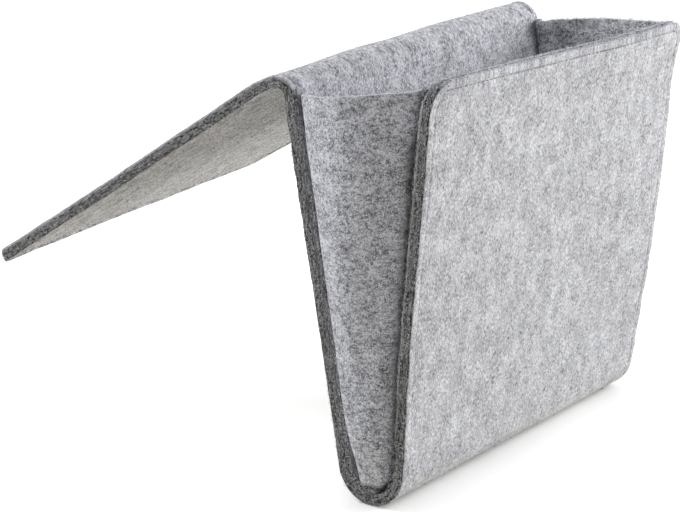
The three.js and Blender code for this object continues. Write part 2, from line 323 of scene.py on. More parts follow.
class Strip:
    """The folded sheet: s runs along it from the flap's tip to the front's top edge,
    x across it, and t up from its middle towards the lining."""

    # Where the sheet lies off its true place: shares of the front's height, then lengths.
    # A pair is where a change starts and its span
    FLARE = 0.85, 0.15
    BOW_FROM, BOW_SPAN = 0.08, 0.75
    DENT_SPAN = 0.8
    DROOP_PAST_FOLD, DROOP_WIDTH = 4 * MM, 11 * MM
    FOOT_WIDTH = 22 * MM
    CALM, CALM_FADE = 10 * MM, 40 * MM
    FOLD_FADE = 20 * MM

    def __init__(self):
        z = settings().sizes
        self.z = z
        self.half = z.width / 2
        self.fold_at = z.flap
        self.back_at = z.flap + z.fold_radius * (math.pi / 2 + z.flap_drop - z.back_lean)
        self.bottom_at = self.back_at + z.back
        bend = math.pi - z.back_lean - z.front_lean
        self.front_at = self.bottom_at + z.bottom_radius * bend
        self.end = self.front_at + z.front
        self.low = self.bottom_at + z.bottom_radius * (math.pi / 2 - z.back_lean)
        self.centre = HINGES["front_fold"]
        self.fold_centre = np.array(self.on_panel(1, z.fold_radius, z.back))

    def on_panel(self, way, d, rise):
        """A point of the back (way 1) or the front (way -1) from the bottom's centre: d outwards,
        rise up the panel."""
        a = self.z.back_lean if way > 0 else self.z.front_lean
        r = self.z.bottom_radius + d
        return way * (r * math.cos(a) + rise * math.sin(a)), rise * math.cos(a) - r * math.sin(a)

    def on_flap(self, s):
        """1 on the flap, fading to 0 at the fold."""
        return smooth((self.fold_at - s) / self.FOLD_FADE)

    def profile(self, s, t):
        """The (y, z) of the true sheet."""
        s, t = np.broadcast_arrays(np.asarray(s, float), np.asarray(t, float))
        z = self.z
        cy, cz = self.fold_centre
        along = self.fold_at - s
        lift = z.fold_radius + t
        sine, cosine = math.sin(z.flap_drop), math.cos(z.flap_drop)
        flap = cy + along * cosine + lift * sine, cz - along * sine + lift * cosine
        turn = math.pi / 2 - z.flap_drop + (s - self.fold_at) / z.fold_radius
        fold = cy + lift * np.cos(turn), cz + lift * np.sin(turn)
        back = self.on_panel(1, -t, self.bottom_at - s)
        turn = -z.back_lean - (s - self.bottom_at) / z.bottom_radius
        r = z.bottom_radius - t
        bottom = r * np.cos(turn), r * np.sin(turn)
        front = self.on_panel(-1, -t, s - self.front_at)
        parts = [s < self.fold_at, s < self.back_at, s < self.bottom_at, s < self.front_at]
        bends = [flap, fold, back, bottom]
        y, height = (np.select(parts, [p[k] for p in bends], front[k]) for k in (0, 1))
        return y + self.centre[1], height + self.centre[2]

    def rest(self, x, s):
        """How far the sheet lies back and up from its true place: it is twisted a little."""
        z = self.z
        over = x / self.half
        right, left = (np.clip(share, 0, 1) ** 2 for share in (over, -over))
        out = np.clip((self.fold_at - s) / z.flap, 0, 1)
        above = 1 - np.clip((s - self.back_at) / z.back, 0, 1)
        ahead = np.clip((s - self.front_at) / z.front, 0, 1)
        flare = ramp(ahead, *self.FLARE)
        bow = arch((ahead - self.BOW_FROM) / self.BOW_SPAN)
        dent = z.front_dent * arch(ahead / self.DENT_SPAN) * left
        foot = z.foot_sway * bell(s - self.low, self.FOOT_WIDTH)
        back = over * (z.fold_sway * above + z.front_sway * ahead)
        back = back - right * (z.corner_flare * flare + z.front_bow * bow) + dent + foot
        tilt = (z.fold_tilt + (z.flap_twist - z.fold_tilt) * out) * above + z.front_tilt * ahead
        crest = bell(s - self.fold_at - self.DROOP_PAST_FOLD, self.DROOP_WIDTH)
        droop = ramp(-over, 0.2, 0.8) * z.fold_droop * crest
        curl = z.tip_curl * out**3 * (1 - 0.8 * ramp(over, 0.5, 0.5))
        return back, over * tilt + right * z.corner_lift * flare - droop + curl

    def place(self, x, s, t):
        """Points of the sheet as it lies, in the row frame."""
        x, s, t = np.broadcast_arrays(x, s, t)
        loose = np.clip((np.abs(s - self.low) - self.CALM) / self.CALM_FADE, 0, 1)
        y, height = self.profile(s, t + SHEET_LIE * LIE(x, s) * loose)
        back, up = self.rest(x, s)
        return np.stack([x, y + back, height + up], -1)

    def normal(self, x, s):
        """Direction from the shell to the lining."""
        return unit(self.place(x, s, np.full(np.shape(s), MM)) - self.place(x, s, 0.0 * s))


# Grid lines of a ply, in millimetres: from the seam, from the cut edge, and the steps between
SEAM_LINES = np.array([-1.5, -1.0, -0.6, -0.3, 0, 0.3, 0.6, 1.0, 1.5])
INNER_LINES = [7.0, 8.4, 10.2, 12.0]
ACROSS_STEP = 4 * MM
PANEL_STEP = 2.2 * MM
FOLD_STEP = 1.0 * MM
BOTTOM_STEP = 1.4 * MM


def hem_lines():
    """Distances from a cut edge at which the felt has grid lines: dense along the seam."""
    dense = settings().sewing.inset / MM + SEAM_LINES
    near = np.linspace(settings().sizes.soft_radius / MM, dense[0], 4)[:-1]
    return np.concatenate([near, dense, INNER_LINES]) * MM


def across(half, step):
    """Grid lines across a ply between its two cut edges."""
    edge = half - hem_lines()
    middle = spaced(-edge[-1], edge[-1], step)
    return np.concatenate([-edge[:-1], middle, edge[-2::-1]])


def flap_stations(strip):
    """Grid lines along the flap, over the fold and down the back."""
    near = hem_lines()
    first, last = strip.fold_at - 5 * MM, strip.back_at + 5 * MM
    flap = spaced(near[-1], first, PANEL_STEP)
    fold = spaced(first, last, FOLD_STEP)
    back = spaced(last, strip.bottom_at, PANEL_STEP)
    return np.concatenate([near[:-1], flap[:-1], fold[:-1], back])


def front_stations(strip):
    """Grid lines round the bottom and up the front."""
    near = strip.end - hem_lines()
    last = strip.front_at + 3 * MM
    bottom = spaced(strip.bottom_at, last, BOTTOM_STEP)
    front = spaced(last, near[-1], PANEL_STEP)
    return np.concatenate([bottom[:-1], front, near[-2::-1]])


def round_corner(to_side, to_end, radius):
    """Bends square grid lines round a corner, each at a constant distance from the edge."""
    p = 1 - to_side / radius
    q = 1 - to_end / radius
    inside = (p > 0) & (q > 0)
    far = np.maximum(np.maximum(p, q), 1e-9)
    swing = np.minimum(p, q) / far * math.pi / 4
    side = np.where(p >= q, far * np.cos(swing), far * np.sin(swing))
    end = np.where(p >= q, far * np.sin(swing), far * np.cos(swing))
    new_side = np.where(inside, radius * (1 - side), to_side)
    new_end = np.where(inside, radius * (1 - end), to_end)
    return new_side, new_end


# Degrees round a rounded cut edge: its section, where the felt's own colour ends, and how much
# further that goes on a soft edge
RIM_TURNS = (23, 45, 68, 90)
RIM_COLOUR = 60
SOFT_COLOUR = 50
RIM_SHARES = (0.15, 0.5, 0.85)
# The least rounding of a cut edge that gets a painted highlight, and the angle that stays a sharp edge
LEAST_HIGHLIGHTED_RADIUS = 0.3 * MM
SHARP = math.radians(60)


def rim_profile(reach, high_radius, low_radius, soft, thickness):
    """Section of a cut edge from the high face to the low one: (outset, height, cut).

    The radii are arrays, one value for each place round the edge. Where soft is 1 the felt's
    own colour goes further round the high face's rounding.
    """
    half = thickness / 2
    high, low = [], []
    for turn in RIM_TURNS:
        sine, cosine = math.sin(math.radians(turn)), math.cos(math.radians(turn))
        cut = np.minimum(1, turn / (RIM_COLOUR + SOFT_COLOUR * soft))
        high.append((reach - high_radius * (1 - sine), half - high_radius * (1 - cosine), cut))
        cut = np.full(len(soft), min(1, turn / RIM_COLOUR))
        low.append((reach - low_radius * (1 - sine), low_radius * (1 - cosine) - half, cut))
    flat = []
    for share in RIM_SHARES:
        height = half - high_radius + share * (high_radius + low_radius - thickness)
        flat.append((np.full(len(soft), reach), height, np.ones(len(soft))))
    return high + flat + low[::-1]


def rim_ring(rows, cols):
    """Row and column numbers once round the rim of a grid."""
    ring = [(0, j) for j in range(cols)]
    ring += [(i, cols - 1) for i in range(1, rows)]
    ring += [(rows - 1, j) for j in range(cols - 2, -1, -1)]
    ring += [(i, 0) for i in range(rows - 2, 0, -1)]
    return np.array(ring).T


def felt_piece(name, middle, normal, flat, lifts, frayed, brushed, rims, thickness, butt=False):
    """A closed felt ply from its middle surface, with rounded cut edges all round.

    lifts are added to the high and low faces. frayed says how much of a cut edge's dark fibre
    ends the faces show; on a gusset it also holds painted shade and the darker felt over the foot.
    The next argument says where a cut edge gets a painted highlight. rims are the reach of the
    edge, its high and low radius, where it is soft and where its high side gets a painted highlight.
    Where butt is true the last row is left square, because the next ply runs on from it.
    """
    rows, cols = middle.shape[:2]
    half = thickness / 2
    verts, flats = [], []
    for way, lift in zip((1, -1), lifts):
        face = middle + normal * (way * (half + lift))[..., None]
        verts.append(face.reshape(-1, 3))
        layer = np.full((rows, cols, 1), way * half)
        flats.append(np.concatenate([flat, layer], -1).reshape(-1, 3))
    cuts = [frayed.ravel(), frayed.ravel()]
    ri, rj = rim_ring(rows, cols)
    count = len(ri)
    edge, up = middle[ri, rj], normal[ri, rj]
    along = np.roll(edge, -1, 0) - np.roll(edge, 1, 0)
    free = np.ones(count)
    if butt:
        last_row = ri == rows - 1
        at_side = (rj == 0) | (rj == cols - 1)
        free[last_row & ~at_side] = 0
        for corner in np.nonzero(last_row & at_side)[0]:
            nearby = corner - 1 if rj[corner] else (corner + 1) % count
            along[corner] = (edge[corner] - edge[nearby]) * (1 if rj[corner] else -1)
    out = unit(np.cross(up, along))
    if np.sum((edge - middle.reshape(-1, 3).mean(0)) * out) < 0:
        out = -out
    flat_edge = flat[ri, rj]
    flat_out = [1.0 * (rj == cols - 1) - (rj == 0), 1.0 * (ri == rows - 1) - (ri == 0)]
    flat_out = np.stack(flat_out, -1)
    wander = RIM_WANDER * SCISSORS(flat_edge[:, 0] * 3 + 0.7, flat_edge[:, 1] * 3)
    section = rim_profile(rims[0], *(part[ri, rj] for part in rims[1:4]), thickness)
    lift_high, lift_low = (lift[ri, rj] for lift in lifts)
    for outset, height, cut in section:
        reach = (outset + wander * np.minimum(1, cut * 1.2)) * free
        share = 0.5 + height / thickness
        rise = height + share * lift_high - (1 - share) * lift_low
        verts.append(edge + out * reach[:, None] + up * rise[:, None])
        spot = flat_edge + flat_out * outset[:, None]
        flats.append(np.concatenate([spot, height[:, None]], -1))
        cuts.append(np.maximum(cut, frayed[ri, rj]))
    size = rows * cols
    top = np.arange(size).reshape(rows, cols)
    quads = np.stack([top[:-1, :-1], top[:-1, 1:], top[1:, 1:], top[1:, :-1]], -1).reshape(-1, 4)
    faces = quads.tolist() + (quads[:, ::-1] + size).tolist()
    loops = [2 * size + k * count + np.arange(count) for k in range(len(section))]
    loops = [top[ri, rj]] + loops + [top[ri, rj] + size]
    for a, b in zip(loops[:-1], loops[1:]):
        faces += np.stack([a, b, np.roll(b, -1), np.roll(a, -1)], -1).tolist()
    mesh = bpy.data.meshes.new(name)
    mesh.from_pydata(np.concatenate(verts).tolist(), [], faces)
    store(mesh, "flat", np.concatenate(flats))
    store(mesh, "cut", np.concatenate(cuts))
    # Painted highlights round the rim
    soft_rim = brushed[ri, rj]
    first, last = (soft_rim * (part[ri, rj] > LEAST_HIGHLIGHTED_RADIUS) for part in rims[1:3])
    # The front lining's rim gets a painted highlight on its high side
    first = np.maximum(first, rims[4][ri, rj])
    turns = len(RIM_TURNS)
    rim_painted_highlight = [first] * (turns + 1) + [soft_rim] * (len(RIM_SHARES) - 1) + [last] * turns
    store(mesh, "brushed", np.concatenate([brushed.ravel(), brushed.ravel()] + rim_painted_highlight))
    closed = bmesh.new()
    closed.from_mesh(mesh)
    bmesh.ops.recalc_face_normals(closed, faces=closed.faces)
    closed.to_mesh(mesh)
    closed.free()
    mesh.shade_smooth()
    mesh.set_sharp_from_angle(angle=SHARP)
    mesh.validate()
    return new_object(name, mesh)


def new_object(name, data):
    """A new object in the scene."""
    made = bpy.data.objects.new(name, data)
    bpy.context.scene.collection.objects.link(made)
    return made


def store(mesh, name, values):
    """Keeps a number or a vector for each point of a mesh."""
    values = np.asarray(values, np.float32)
    kind = "FLOAT" if values.ndim == 1 else "FLOAT_VECTOR"
    spot = mesh.attributes.new(name, kind, "POINT")
    spot.data.foreach_set("value" if values.ndim == 1 else "vector", values.ravel())


def read(mesh, name):
    """The number or vector kept for each point of a mesh."""
    spot = mesh.attributes[name]
    if spot.data_type == "FLOAT":
        values = np.zeros(len(mesh.vertices), np.float32)
        spot.data.foreach_get("value", values)
        return values
    values = np.zeros(3 * len(mesh.vertices), np.float32)
    spot.data.foreach_get("vector", values)
    return values.reshape(-1, 3)


# Along a cut edge: how far in the scissors' wander reaches, how strong the frayed fibre ends are
# and how far in they reach, and how soon a cut end's painted highlight starts from its corners
WANDER_REACH = 4 * MM
FRAYED, FRAY_REACH = 0.45, 0.9 * MM
HIGHLIGHT_FADE = 5 * MM
HIGHLIGHT_FULL = 0.7
# How much more the flap's tip is puffed up, and over which length
TIP_LOFT, TIP_REACH = 0.7, 40 * MM
# How strong the painted highlight on the front lining's rim is where it meets the shell, and how soon it
# comes in over the bottom
LINING_RIM_HIGHLIGHT, LINING_RIM_HIGHLIGHT_RISE = 0.55, 25 * MM
# How soon a seam's groove fades at a corner or past the fold
HEM_FADE = 6 * MM
# Offsets along the flat felt that keep the grain of the pieces apart
LINING_GRAIN, LEFT_GRAIN, RIGHT_GRAIN = 2.0, 6.0, 5.0


def ply(name, lining, flap, stations, corners, hem, bare, end_brushed):
    """One ply of the sheet over the given stations along it, its left and right corner rounded.

    It is cut at its first station, the flap's tip, if flap is true, or else at its last one.
    hem(s, to_end, to_side) says how much of the seam's groove the outer face shows there, bare
    where no flange covers the cut edge, and the last argument how much painted highlight the cut end gets.
    """
    strip = Strip()
    z = strip.z
    sewing = settings().sewing
    rim = z.soft_radius
    grid_x, grid_s = np.meshgrid(across(strip.half, ACROSS_STEP), stations)
    to_side = strip.half - np.abs(grid_x)
    tip = stations[0] - rim if flap else stations[-1] + rim
    to_end = grid_s - tip if flap else tip - grid_s
    inset = np.minimum(to_side, to_end)
    corner = np.where(grid_x < 0, *corners)
    side, end = round_corner(to_side, to_end, corner)
    grid_x = np.sign(grid_x) * (strip.half - side)
    grid_s = tip + end if flap else tip - end
    wander = CUT_WANDER * SCISSORS(grid_s, np.sign(grid_x) * 0.3 + (0.5 if lining else 0.9))
    grid_x = grid_x + wander * np.exp(-inset / WANDER_REACH)
    gap = z.ply_gap / 2
    thickness = z.sheet / 2 - gap
    level = (gap + thickness / 2) * (1 if lining else -1)
    middle = strip.place(grid_x, grid_s, np.full(grid_s.shape, level))
    normal = strip.normal(grid_x, grid_s)

    # The outer face: drawn in along the seam, puffed up beside it and dented
    from_seam = inset - sewing.inset
    hollow = sewing.puff * arch(inset / sewing.inset)
    hollow = hollow - sewing.groove * bell(from_seam, sewing.groove_width)
    face = hollow * hem(grid_s, to_end, to_side)
    face = face + DENT_DEPTH * DENTS(grid_x + (0.4 if lining else 0), grid_s)
    if flap:
        loft = z.flap_loft * (1 + TIP_LOFT * smooth(1 - grid_s / TIP_REACH)) * strip.on_flap(grid_s)
        face = face + loft * smooth(1 - inset / sewing.inset)
        if not lining:
            dip = bell(from_seam, VALLEY_WIDTH)
            face = face - sewing.valley * dip * strip.on_flap(grid_s)
    lifts = [face, np.zeros(grid_s.shape)]

    # The cut edge: rounded where no flange covers it, fluffed up along the end
    open_edge = bare(grid_s, to_end, to_side)
    fluffy = lining and flap
    radius = z.soft_radius if fluffy else z.cut_radius
    rims = [z.ply_radius + (radius - z.ply_radius) * open_edge, np.full(grid_s.shape, z.ply_radius)]
    if not lining:
        lifts, rims = lifts[::-1], rims[::-1]
    # A painted highlight on the inner rim of the front lining's cut edge
    lining_rim_highlight = LINING_RIM_HIGHLIGHT * smooth((grid_s - strip.front_at) / LINING_RIM_HIGHLIGHT_RISE - 0.4) * lining
    # A painted highlight along the cut end, where it faces up
    brushed = smooth((to_side - to_end) / HIGHLIGHT_FADE - 0.5) * end_brushed
    brushed = brushed * np.clip(1 - to_end / (0.5 * corner), 0, HIGHLIGHT_FULL) / HIGHLIGHT_FULL
    frayed = FRAYED * np.exp(-inset / FRAY_REACH) * (1 - brushed)
    flat = np.stack([grid_x, grid_s + (LINING_GRAIN if lining else 0.0)], -1)
    grids = [middle, normal, flat, *lifts, frayed, brushed, *rims, open_edge * fluffy, lining_rim_highlight]
    if not flap:
        grids = [grid[::-1] for grid in grids]
    middle, normal, flat, high, low, frayed, brushed, *rims = grids
    rims = [rim, *rims]
    return felt_piece(
        name, middle, normal, flat, (high, low), frayed, brushed, rims, thickness, butt=True
    )


# Half the length over which a piece bends at the top fold and at the bottom
FOLD_BEND = 6.5 * MM
BOTTOM_BEND = 8 * MM


def bend_over_fold(piece):
    """Lets a piece turn with the flap on one side of the top fold and the back on the other."""
    centre = HINGES["top_fold"]
    a, b = settings().sizes.flap_drop, settings().sizes.back_lean
    towards = np.array([0, -math.sin(b) - math.cos(a), -math.cos(b) + math.sin(a)])
    towards *= FOLD_BEND / np.linalg.norm(towards)
    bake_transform(piece, "flap", "back", start=tuple(centre - towards), end=tuple(centre + towards))


def bend_at_bottom(piece):
    """Lets a piece turn with the back on one side of the bottom and the front on the other."""
    centre = HINGES["front_fold"]
    start = (0, centre[1] + BOTTOM_BEND, centre[2])
    end = (0, centre[1] - BOTTOM_BEND, centre[2])
    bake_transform(piece, "back", "front", start=start, end=end)


def bend_by_share(piece, share):
    """Bends a gusset's piece, each point by its own share of the front's turn."""
    bend_at_bottom(piece)
    piece.data.attributes["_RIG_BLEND"].data.foreach_set("value", share.astype(np.float32))


class Wire:
    """A socket in Python arithmetic: each operation adds a Math node."""

    def __init__(self, tree, socket):
        self.tree = tree
        self.socket = socket

    def math(self, operation, *values):
        inputs = dict(enumerate(values))
        return add_node(self.tree, "ShaderNodeMath", {"operation": operation}, inputs)

    def __add__(self, other):
        return self.math("ADD", self, other)

    def __sub__(self, other):
        return self.math("SUBTRACT", self, other)

    def __rsub__(self, other):
        return self.math("SUBTRACT", other, self)

    def __mul__(self, other):
        return self.math("MULTIPLY", self, other)

    __radd__ = __add__
    __rmul__ = __mul__

    def clamp(self):
        """The value held between 0 and 1."""
        return add_node(self.tree, "ShaderNodeClamp", {}, {"Value": self})

    def step(self, low, high):
        """0 below low, 1 above high, smooth between."""
        inputs = {"Value": self, "From Min": low, "From Max": high}
        how = {"interpolation_type": "SMOOTHSTEP"}
        return add_node(self.tree, "ShaderNodeMapRange", how, inputs)


def add_node(tree, kind, how, inputs, output=0):
    """Adds a node, sets it up, fills or links its sockets and gives one of its outputs."""
    node = tree.nodes.new(kind)
    for key, value in how.items():
        setattr(node, key, value)
    for key, value in inputs.items():
        socket = node.inputs[key]
        if isinstance(value, Wire):
            tree.links.new(value.socket, socket)
        else:
            socket.default_value = value
    return Wire(tree, node.outputs[output]) if node.outputs else node


def opaque(colour, share=1):
    """A colour, or a share of it, as a shader's colour."""
    return tuple(c * share for c in colour) + (1,)


def mix_colour(tree, factor, first, second):
    """Two colours mixed by a factor."""
    how = {"data_type": "RGBA", "blend_type": "MIX"}
    return add_node(tree, "ShaderNodeMix", how, {0: factor, 6: first, 7: second}, output=2)


def noise(tree, at, scale, detail, rough=0.5):
    """Noise of about 0.5 over places."""
    inputs = {"Vector": at, "Scale": scale, "Detail": detail, "Roughness": rough}
    return add_node(tree, "ShaderNodeTexNoise", {}, inputs, output="Fac")


def grain(tree, flat, pull, size, detail, rough):
    """Noise on the flat felt: size in millimetres, pull says how much longer it is each way."""
    scale = tuple(1 / (size * MM * p) for p in pull)
    at = add_node(tree, "ShaderNodeVectorMath", {"operation": "MULTIPLY"}, {0: flat, 1: scale})
    return noise(tree, at, 1.0, detail, rough)


def bump(tree, strength, distance, height):
    """A surface normal from a height."""
    inputs = {"Strength": strength, "Distance": distance, "Height": height}
    return add_node(tree, "ShaderNodeBump", {}, inputs)


def kept(tree, name, output="Fac"):
    """What a mesh keeps for its points, in a shader."""
    return add_node(tree, "ShaderNodeAttribute", {"attribute_name": name}, {}, output=output)


def new_material(name):
    """An empty node material and its tree."""
    material = bpy.data.materials.get(name) or bpy.data.materials.new(name)
    material.use_nodes = True
    material.node_tree.nodes.clear()
    return material, material.node_tree


def end_material(tree, shader):
    """Ends a material in one shader with the given inputs."""
    surface = add_node(tree, "ShaderNodeBsdfPrincipled", {}, shader)
    add_node(tree, "ShaderNodeOutputMaterial", {}, {"Surface": surface})


# Share of grey wool in plain felt, how dark the darkest fibre ends of a cut edge are, and how
# many times as strong the flecks are under the flap, fading out over the fold
GREY_SHARE = 0.47
DARK_ENDS = 0.05
FLAP_FLECKS = 2.0
FLAP_FADE = 0.02


def felt_material(name, contrast, pull, tone=(1, 1, 1), highlight_pale=0.0, patchy=0.65):
    """Pressed heather felt: pale and grey wool, darker fibre ends where it is cut.

    pull says how much longer than wide the flecks lie along the felt, tone tints the wool and
    patchy says how strong the wider flecks are. The argument after tone says how much paler the
    painted highlight on a cut edge is.
    """
    colours = settings().colours
    pale, grey = (opaque(np.multiply(c, tone)) for c in (colours.pale, colours.grey))
    material, tree = new_material(name)
    flat = kept(tree, "flat", "Vector")
    cut = kept(tree, "cut")
    brushed = kept(tree, "brushed")

    # Faces: four sizes of fleck mix grey wool into the pale
    cloud = grain(tree, flat, (1, pull, 1), 8.0, 2.0, 0.5) - 0.5
    fleck = grain(tree, flat, (1, pull, 1), 2.0, 2.0, 0.6) - 0.5
    fine = grain(tree, flat, (1, pull * 1.2, 1), 0.75, 2.0, 0.65) - 0.5
    hair = grain(tree, flat, (0.8, pull * 2.4, 1), 0.5, 1.0, 0.5) - 0.5
    mottle = (0.6 * cloud + patchy * fleck + 1.75 * fine + 0.75 * hair) * contrast
    along = add_node(tree, "ShaderNodeSeparateXYZ", {}, {"Vector": flat}, output="Y")
    reach = settings().sizes.flap
    mottle = mottle * (FLAP_FLECKS - along.step(reach, reach + FLAP_FADE))
    speck = fleck.step(0.08, 0.26) * 0.12
    wool = (mottle + speck + GREY_SHARE).clamp()
    body = mix_colour(tree, wool, pale, grey)

    # Cut edges: pressed layers and single fibre ends, paler where they get a painted highlight
    layer = grain(tree, flat, (9, 9, 1), 0.5, 2.0, 0.6)
    ends = grain(tree, flat, (1.8, 1.8, 1), 0.7, 2.0, 0.7)
    streak = (3.0 * (layer - 0.5) + 4.0 * (ends - 0.5) + 0.4).clamp()
    fresh = mix_colour(tree, streak, opaque(colours.cut, DARK_ENDS), opaque(colours.cut))
    edge = mix_colour(tree, brushed, fresh, mix_colour(tree, highlight_pale, body, pale))
    # How much of the cut-edge colour shows: real fibre ends, and also the painted shade that a gusset's
    # crevice and hidden flange carry in the cut values
    cut_and_painted_shade = (cut + 1.0 * (ends - 0.5)).step(0.25, 0.75)
    height = fleck * 0.5 + fine * 0.8 + hair * 0.5 + ends * cut_and_painted_shade
    shader = {
        "Base Color": mix_colour(tree, cut_and_painted_shade, body, edge),
        "Roughness": 0.95,
        "Specular IOR Level": 0.15,
        "Sheen Weight": 0.2,
        "Sheen Roughness": 0.5,
        "Normal": bump(tree, 0.55, 0.25 * MM, height),
    }
    end_material(tree, shader)
    return material


def thread_material():
    """Twisted sewing thread."""
    material, tree = new_material("sewing_thread")
    spot = add_node(tree, "ShaderNodeTexCoord", {}, {}, output="Object")
    strand = noise(tree, spot, 2600.0, 2.0)
    colour = settings().colours.thread
    shade = mix_colour(tree, strand.step(0.35, 0.65), opaque(colour, 0.6), opaque(colour))
    shader = {
        "Base Color": shade,
        "Roughness": 0.8,
        "Specular IOR Level": 0.25,
        "Normal": bump(tree, 0.4, 0.05 * MM, strand),
    }
    end_material(tree, shader)
    return material


def fibre_material():
    """Single wool fibres, some pale and some grey."""
    colours = settings().colours
    material, tree = new_material("loose_wool")
    spot = add_node(tree, "ShaderNodeTexCoord", {}, {}, output="Object")
    which = noise(tree, spot, 900.0, 1.0).step(0.45, 0.6)
    shade = mix_colour(tree, which, opaque(colours.pale), opaque(colours.grey))
    end_material(tree, {"Base Color": shade, "Roughness": 0.9, "Specular IOR Level": 0.2})
    return material


def dress(piece, material):
    """Gives a piece its material."""
    piece.data.materials.clear()
    piece.data.materials.append(material)


class Gusset:
    """One side of the pocket: a flange on each panel and a wall swelling outwards.

    A row runs from the back's edge to the front's; v counts rows from 0 at the mouth to 1 at
    the foot.
    """

    # Points of a row on each flange and on the wall, the even step along it, and how many steps
    # each way soften its folds
    FLANGE_POINTS, WALL_POINTS = 40, 240
    STEP = 0.4 * MM
    TAPS = 16
    # Rows over which the foot draws in its swell, loses its tuck and is pushed out, and the last
    # row that peels off the back
    DRAWN_IN = 0.82, 0.18
    UNTUCKED = 0.92, 0.06
    PUSHED = 0.9, 0.08
    PEEL_TO = 0.3
    # How far short of the sheet's edge the foot stays, the widths over which the wall turns out
    # beside the back and in beside the front, its least lap on the front, its rounded cut edge
    SHORT = 0.3 * MM
    TURN_OUT = 4.5 * MM
    TURN_IN = 7 * MM
    LEAST_LAP = 1 * MM
    RIM = 0.4 * MM
    # The right gusset: how much lower it is sewn to the back, and its share of the swell
    RIGHT_DROP = 1.5 * MM
    RIGHT_BULGE = 0.86
    # Softness of the swell's ridge
    RIDGE = 0.03

    def __init__(self, side):
        self.side = side
        self.right = side > 0
        self.strip = Strip()
        self.g = settings().gusset
        z = self.strip.z
        depth = -(z.sheet / 2 + z.flange_gap + z.felt / 2)
        self.radius = z.bottom_radius + depth
        self.low = (-z.back_lean + z.front_lean - math.pi) / 2
        self.arc = self.radius * (math.pi - z.back_lean - z.front_lean) / 2

    def seam(self, along, way):
        """The flange's middle line up the back (way 1) or the front (way -1), measured from the
        lowest point."""
        z = self.strip.z
        a = self.low + way * np.minimum(along, self.arc) / self.radius
        rise = np.maximum(along - self.arc, 0)
        lean = z.back_lean if way > 0 else -z.front_lean
        y = self.radius * np.cos(a) + rise * math.sin(lean)
        return np.stack([y, self.radius * np.sin(a) + rise * math.cos(lean)], -1)

    def beside(self, along):
        """Distance up the sheet's middle beside a place on the flange."""
        up = along - self.arc
        ratio = self.strip.z.bottom_radius / self.radius
        return np.maximum(up, up * ratio)

    def outline(self, v):
        """Flange, wall and flange of one row."""
        g = self.g
        strip = self.strip
        half = strip.half
        root = half - g.flange
        hem, wall = self.FLANGE_POINTS, self.WALL_POINTS
        across = np.concatenate([np.zeros(hem), np.linspace(0, 1, wall), np.ones(hem)])
        inner = np.minimum(across, 1 - across)
        foot = g.tail + (g.foot - g.tail) * smooth(inner / 0.12)
        back_top = self.arc + g.back_rise - (self.RIGHT_DROP if self.right else 0)
        front_top = self.arc + g.front_rise + self.side * g.rise_skew
        back_along = back_top + (foot - back_top) * v
        if not self.right:
            back_along[:hem] += g.ear * np.linspace(1, 0, hem) * (1 - v) ** 12
        front_along = front_top + (foot - front_top) * v
        back = self.seam(back_along, 1)
        front = self.seam(front_along, -1)
        chord = np.linalg.norm(back - front, axis=-1)
        mouth = np.linalg.norm(self.seam(back_top, 1) - self.seam(front_top, -1))
        swell = g.bulge * (chord / mouth) ** g.taper
        swell = swell * (1 - 0.5 * ramp(v, *self.DRAWN_IN))
        swell = swell * (self.RIGHT_BULGE if self.right else 1)
        lap = self.lap(front_along[-1] - self.arc)
        flanges = np.linspace(half, root, hem), np.linspace(root, root + lap, hem)
        x = np.concatenate([flanges[0], np.full(wall, root), flanges[1]])
        x = x + swell * self.lobe(across, chord, v)
        inward = 1 - smooth((1 - across) * chord / self.TURN_IN)
        inward[hem + wall :] = np.linspace(1, 0, hem)
        x = x - g.tuck * (1 - ramp(v, *self.UNTUCKED)) * inward
        pushed = ramp(v, *self.PUSHED) * smooth(inner / 0.2)
        x = x + pushed * np.maximum(half - self.SHORT - x, 0)
        yz = back + (front - back) * across[:, None]
        behind = strip.rest(self.side * half, strip.bottom_at - self.beside(back_along))
        ahead = strip.rest(self.side * half, strip.front_at + self.beside(front_along))
        for k in (0, 1):
            yz[:, k] += behind[k] * (1 - across) + ahead[k] * across
        if self.right:
            loose = np.clip(np.arange(len(across)) / (hem / 2) - 1, 0, 1) * (1 - across) ** 4
            yz[:, 0] -= g.peel * (1 - smooth(v / self.PEEL_TO)) * loose
        return np.concatenate([x[:, None], yz], -1), across, lap

    def chords(self, down):
        """Width of the pocket beside each row."""
        back = self.seam((self.arc + self.g.back_rise) * (1 - down), 1)
        front = self.seam((self.arc + self.g.front_rise) * (1 - down), -1)
        return np.linalg.norm(back - front, axis=-1)

    def lobe(self, across, chord, v):
        """Share of the swell across the wall: it turns out sharply beside the back flange,
        rises to a soft crest and falls slowly to the front. Low down it overhangs the flange."""
        wave = across ** (math.log(0.5) / math.log(self.g.crest))
        least = math.sqrt(self.RIDGE)
        ridge = np.sqrt((2 * wave - 1) ** 2 + self.RIDGE) - least
        ridge = ridge / (math.sqrt(1 + self.RIDGE) - least)
        hump = 0.5 * np.sin(np.pi * wave) + 0.5 * (1 - ridge)
        shoulder = 0.12 + 0.2 * smooth(v / 0.15) + 0.42 * bell(v - 0.77, 0.14)
        hidden = np.minimum(self.g.crevice, 0.15 * chord)
        turn_out = smooth((across * chord - hidden) / np.minimum(self.TURN_OUT, 0.3 * chord))
        turn_in = smooth((1 - across) * chord / np.minimum(self.TURN_IN, 0.3 * chord))
        return turn_out * turn_in * (shoulder + (1 - shoulder) * hump)

    def lap(self, rise):
        """Width of the front flange: it stays inside the front's rounded corner."""
        z = self.strip.z
        corner = z.right_corner if self.right else z.front_corner
        into = np.clip(rise - (z.front - corner), 0, corner)
        cut_back = corner - math.sqrt(corner**2 - into**2)
        return max(self.g.flange - self.g.recess - cut_back, self.LEAST_LAP)

